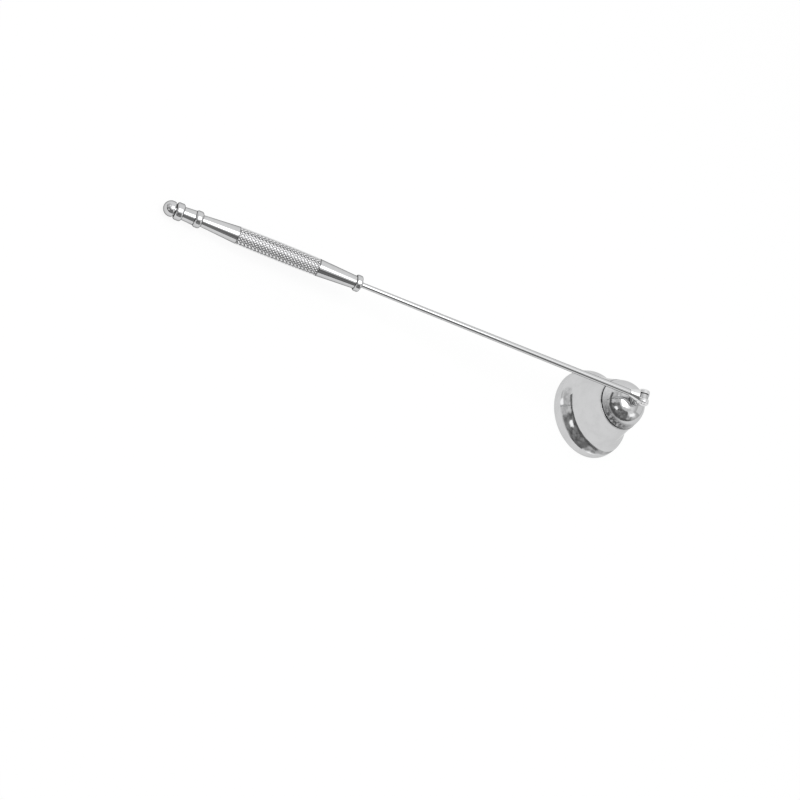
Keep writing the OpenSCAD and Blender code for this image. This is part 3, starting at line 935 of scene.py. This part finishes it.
class SNUFFER_OT_grip(bpy.types.Operator):
    """Make the grip: two smooth tapers and the diamond-knurled part between them"""

    bl_idname = "snuffer.grip"
    bl_label = "Knurled grip"

    def execute(self, context):
        h, at = settings()[1], marks()
        smooth_part, knurl_part = handle_finish(), knurl_finish()
        tapers = []
        for name, start, stop, start_d, stop_d in (
            ("front_taper", at["nose"], at["knurl"], h.nose_d, h.front_d),
            ("rear_taper", at["rear"], at["collar"], h.rear_d, h.tail_end_d),
        ):
            outline = [(0, start)] + cone(start, stop - start, start_d, stop_d, 12) + [(0, stop)]
            tapers.append(turned(name, outline, HANDLE_STEPS))
        knurl = self.diamonds(h, at)
        for taper in tapers:
            taper.data.materials.append(smooth_part)
            smooth(taper)
        knurl.data.materials.append(smooth_part)
        knurl.data.materials.append(knurl_part)
        for face in knurl.data.polygons:
            face.material_index = 1
        focus(knurl)
        for taper in tapers:
            taper.select_set(True)
        bpy.ops.object.join()
        knurl.name = "knurled_handle"
        lay(knurl, place_of("handle"))
        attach(knurl, "handle")
        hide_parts("knurled_grip")
        return {"FINISHED"}

    def diamonds(self, h, at):
        """A tube of quads is poked, its first edges are dissolved, and each diamond left is raised to a worn point"""
        rows = round(h.knurl_len / h.knurl_pitch)
        step = h.knurl_len / rows
        count = h.knurl_count
        ends = (at["knurl"], at["rear"])

        def root(share):
            """Radius at the bottom of the grooves, at a share of the length"""
            crest = h.knurl_end_d + (h.knurl_mid_d - h.knurl_end_d) * (1 - (2 * share - 1) ** 2)
            return crest / 2 - h.knurl_depth

        deselect_all()
        bpy.ops.mesh.primitive_circle_add(vertices=count, radius=root(0), location=(0, 0, 0), fill_type="NOTHING")
        sleeve = bpy.context.object
        sleeve.name = "knurl_sleeve"
        mesh = sleeve.data
        mode("EDIT")
        bpy.ops.mesh.select_mode(type="VERT")
        bpy.ops.mesh.select_all(action="SELECT")
        bpy.ops.transform.translate(value=(0, 0, ends[0]))
        for j in range(rows):
            grow = root((j + 1) / rows) / root(j / rows)
            bpy.ops.mesh.extrude_region_move(TRANSFORM_OT_translate={"value": (0, 0, step)})
            bpy.ops.transform.resize(value=(grow, grow, 1), center_override=(0, 0, ends[0] + (j + 1) * step))
        face_outwards()
        mode("OBJECT")
        first_corners = len(mesh.vertices)
        bulge = root(0.5) * (1 - math.cos(math.pi / count))
        mode("EDIT")
        bpy.ops.mesh.select_all(action="SELECT")
        bpy.ops.mesh.poke(offset=bulge, use_relative_offset=False)
        mode("OBJECT")
        unselect(mesh)
        for edge in mesh.edges:
            if max(edge.vertices) < first_corners:
                heights = [mesh.vertices[v].co.z for v in edge.vertices]
                edge.select = not any(max(abs(z - end) for z in heights) < step / 4 for end in ends)
        mode("EDIT")
        bpy.ops.mesh.select_mode(type="EDGE")
        bpy.ops.mesh.dissolve_edges(use_verts=False)
        bpy.ops.mesh.select_mode(type="FACE")
        bpy.ops.mesh.select_all(action="SELECT")
        width = math.pi * h.knurl_end_d / count
        for inward, rise in KNURL_CUTS:
            bpy.ops.mesh.inset(thickness=width * inward, depth=h.knurl_depth * rise, use_individual=True)
        mode("OBJECT")
        self.close_ends(sleeve, ends, step)
        return sleeve

    def close_ends(self, sleeve, ends, step):
        """Runs each open end a little way into its taper and closes it"""
        overlap = 0.3 * MM
        mesh = sleeve.data
        focus(sleeve)
        for end, way in zip(ends, (-overlap, overlap)):
            unselect(mesh)
            mode("EDIT")
            bpy.ops.mesh.select_mode(type="EDGE")
            bpy.ops.mesh.select_non_manifold()
            mode("OBJECT")
            for edge in mesh.edges:
                edge.select = edge.select and all(abs(mesh.vertices[v].co.z - end) < step for v in edge.vertices)
            rim = {v for edge in mesh.edges if edge.select for v in edge.vertices}
            for vertex in mesh.vertices:
                vertex.select = vertex.index in rim
            mode("EDIT")
            bpy.ops.mesh.extrude_region_move(TRANSFORM_OT_translate={"value": (0, 0, way)})
            bpy.ops.mesh.edge_face_add()
            mode("OBJECT")
        mode("EDIT")
        face_outwards()
        mode("OBJECT")


class SNUFFER_OT_spindle(bpy.types.Operator):
    """Turn the neck between the two collars behind the grip"""

    bl_idname = "snuffer.spindle"
    bl_label = "Rear spindle"

    def execute(self, context):
        h, at = settings()[1], marks()
        outline = [(0, at["collar"])] + bead(at["collar"], h.collar_len, h.collar_d, h.tail_end_d)
        outline += [(h.spindle_neck_d / 2, at["neck"]), (h.spindle_neck_end_d / 2, at["end_collar"])]
        outline += bead(at["end_collar"], h.end_collar_len, h.end_collar_d, h.spindle_neck_end_d)
        spindle = turned("collars_and_neck", outline + [(0, at["groove"])], HANDLE_STEPS)
        return hand_over(spindle, "handle", "rear_spindle", "polished_handle", handle_finish())


class SNUFFER_OT_ball(bpy.types.Operator):
    """Turn the ball at the handle's end"""

    bl_idname = "snuffer.ball"
    bl_label = "End ball"

    def execute(self, context):
        h, at = settings()[1], marks()
        r, groove = h.ball_d / 2, h.groove_d / 2
        centre = at["ball"] + h.ball_len - r
        cut = math.degrees(math.asin((at["ball"] - centre) / r))
        outline = [(0, at["groove"]), (groove, at["groove"]), (groove, at["ball"])]
        ball = turned("end_knob", outline + arc((0, centre), r, cut, 90, 32), HANDLE_STEPS)
        return hand_over(ball, "handle", "end_ball", "polished_handle", handle_finish())


# Photo table


def direction(azimuth, elevation):
    """Where an azimuth from +X and a height above the horizon point to"""
    flat = math.cos(elevation)
    return Vector((flat * math.cos(azimuth), flat * math.sin(azimuth), math.sin(elevation)))


class SNUFFER_OT_stage(bpy.types.Operator):
    """Set up the white table, the soft lights and the camera"""

    bl_idname = "snuffer.stage"
    bl_label = "Photo table"

    def execute(self, context):
        stage = settings()[3]
        self.table(stage)
        self.surroundings(stage)
        self.lights()
        self.camera(stage)
        return {"FINISHED"}

    def table(self, stage):
        """A pale table that camera and metal see as white and that still takes the shadow"""
        deselect_all()
        bpy.ops.mesh.primitive_circle_add(vertices=96, radius=4, fill_type="NGON", location=(0, 0, -0.02 * MM))
        floor = bpy.context.object
        floor.name = "table_top"
        material = bpy.data.materials.new("white_table")
        material.use_nodes = True
        tree = material.node_tree
        tree.nodes.clear()
        cloth = node(tree, "BsdfDiffuse", {"Color": (*stage.floor_colour, 1)}).outputs[0]
        glow = node(tree, "Emission", {"Color": (1, 1, 1, 1), "Strength": TABLE_GLOW}).outputs[0]
        path = node(tree, "LightPath", {}).outputs
        mirrored = maths(tree, "MAXIMUM", path["Is Glossy Ray"], path["Is Transmission Ray"])
        dimmed = maths(tree, "MULTIPLY", mirrored, MIRROR_SHARE)
        share = maths(tree, "MULTIPLY_ADD", path["Is Camera Ray"], CAMERA_SHARE, dimmed)
        mix = node(tree, "MixShader", {0: share, 1: cloth, 2: glow})
        node(tree, "OutputMaterial", {"Surface": mix.outputs[0]})
        floor.data.materials.append(material)

    def surroundings(self, stage):
        """White to the camera, a tent with its cards in reflections, soft light on everything else"""
        world = bpy.data.worlds.new("studio")
        bpy.context.scene.world = world
        world.use_nodes = True
        tree = world.node_tree
        tree.nodes.clear()
        way = node(tree, "TexCoord", {}).outputs["Generated"]
        part = node(tree, "SeparateXYZ", {0: way}).outputs
        clouds = uneven(tree, way, scale=5.0, detail=5.0, roughness=0.65)["Color"]
        noise = node(tree, "SeparateColor", {0: clouds}).outputs

        def wobbly(radians, wobble, spread):
            """An angle in degrees, a little uneven, so that the cards' edges are"""
            return maths(tree, "ADD", maths(tree, "DEGREES", radians), span(tree, wobble, 0.0, 1.0, -spread, spread))

        azimuth = wobbly(maths(tree, "ARCTAN2", part["Y"], part["X"]), noise["Red"], 10.0)
        elevation = wobbly(maths(tree, "ARCSINE", part["Z"]), noise["Green"], 5.0)
        clutter = span(tree, noise["Blue"], 0.35, 0.65, -0.5, 0.5)
        mirrored = stage.tent
        for _, *card in CARDS:
            mirrored = shared(tree, "soft_card", soft_card_group, {
                "Behind": mirrored, "Azimuth": azimuth, "Elevation": elevation, "Clutter": clutter,
                **dict(zip(CARD_FIELDS, card)),
            })[0]
        path = node(tree, "LightPath", {}).outputs
        unseen = either(tree, path["Is Glossy Ray"], stage.sky, mirrored)
        strength = either(tree, path["Is Camera Ray"], unseen, 1.0)
        light = node(tree, "Background", {"Color": (1, 1, 1, 1), "Strength": strength})
        node(tree, "OutputWorld", {"Surface": light.outputs[0]})

    def lights(self):
        """Large soft boxes, each given by its direction in degrees, distance, side and brightness"""
        for name, azimuth, elevation, distance, side, brightness in (
            ("top_box", 200, 80, 0.9, 0.5, 2.4),
            ("back_box", 15, 24, 1.2, 0.8, 0.3),
        ):
            light = bpy.data.lights.new(name, "AREA")
            light.shape = "RECTANGLE"
            light.size = light.size_y = side
            light.energy = brightness * math.pi * side * side
            lamp = bpy.data.objects.new(name, light)
            bpy.context.scene.collection.objects.link(lamp)
            way = direction(math.radians(azimuth), math.radians(elevation))
            lamp.location = BELL_FOOT + way * distance
            lamp.rotation_mode = "QUATERNION"
            lamp.rotation_quaternion = way.to_track_quat("Z", "Y")

    def camera(self, stage):
        """The camera stands where the photograph was taken from"""
        back = direction(stage.azimuth, stage.elevation)
        level = Vector((-math.sin(stage.azimuth), math.cos(stage.azimuth), 0))
        up = back.cross(level)
        right = level * math.cos(stage.roll) + up * math.sin(stage.roll)
        upward = up * math.cos(stage.roll) - level * math.sin(stage.roll)
        focal_px = stage.lens / SENSOR_MM * PHOTO_WIDTH
        per_px = stage.distance / focal_px
        data = bpy.data.cameras.new("photo_camera")
        data.lens = stage.lens
        data.sensor_width = SENSOR_MM
        data.clip_start = 0.02
        data.clip_end = 20
        camera = bpy.data.objects.new("photo_camera", data)
        bpy.context.scene.collection.objects.link(camera)
        camera.matrix_world = Matrix((right, upward, back)).transposed().to_4x4()
        camera.location = BELL_FOOT + back * stage.distance - (right * FOOT_PX.x - upward * FOOT_PX.y) * per_px
        bpy.context.scene.camera = camera


class VIEW3D_PT_snuffer(bpy.types.Panel):
    """Buttons that make the snuffer's pieces, in the order that they are made"""

    bl_label = "Candle snuffer"
    bl_space_type = "VIEW_3D"
    bl_region_type = "UI"
    bl_category = "Snuffer"

    def draw(self, context):
        for maker in MAKERS:
            self.layout.operator(maker.bl_idname)
        for group in (context.scene.snuffer_finish, context.scene.snuffer_stage):
            box = self.layout.box()
            for name in group.__annotations__:
                box.prop(group, name)


GROUPS = {
    "snuffer_bell": SnufferBell,
    "snuffer_handle": SnufferHandle,
    "snuffer_finish": SnufferFinish,
    "snuffer_stage": SnufferStage,
}
MAKERS = (
    SNUFFER_OT_bell,
    SNUFFER_OT_stud,
    SNUFFER_OT_nut,
    SNUFFER_OT_knuckle,
    SNUFFER_OT_pin,
    SNUFFER_OT_rod,
    SNUFFER_OT_ring,
    SNUFFER_OT_grip,
    SNUFFER_OT_spindle,
    SNUFFER_OT_ball,
    SNUFFER_OT_stage,
)


def register():
    for cls in (*GROUPS.values(), *MAKERS, VIEW3D_PT_snuffer):
        bpy.utils.register_class(cls)
    for name, cls in GROUPS.items():
        setattr(bpy.types.Scene, name, bpy.props.PointerProperty(type=cls))


def unregister():
    for name in GROUPS:
        delattr(bpy.types.Scene, name)
    for cls in reversed((*GROUPS.values(), *MAKERS, VIEW3D_PT_snuffer)):
        bpy.utils.unregister_class(cls)


def main():
    """Makes every piece and the stage"""
    register()
    for maker in MAKERS:
        group, name = maker.bl_idname.split(".")
        getattr(getattr(bpy.ops, group), name)()
    bpy.context.scene.view_settings.view_transform = "Standard"
    deselect_all()
    bpy.context.view_layer.update()


if __name__ == "__main__":
    main()
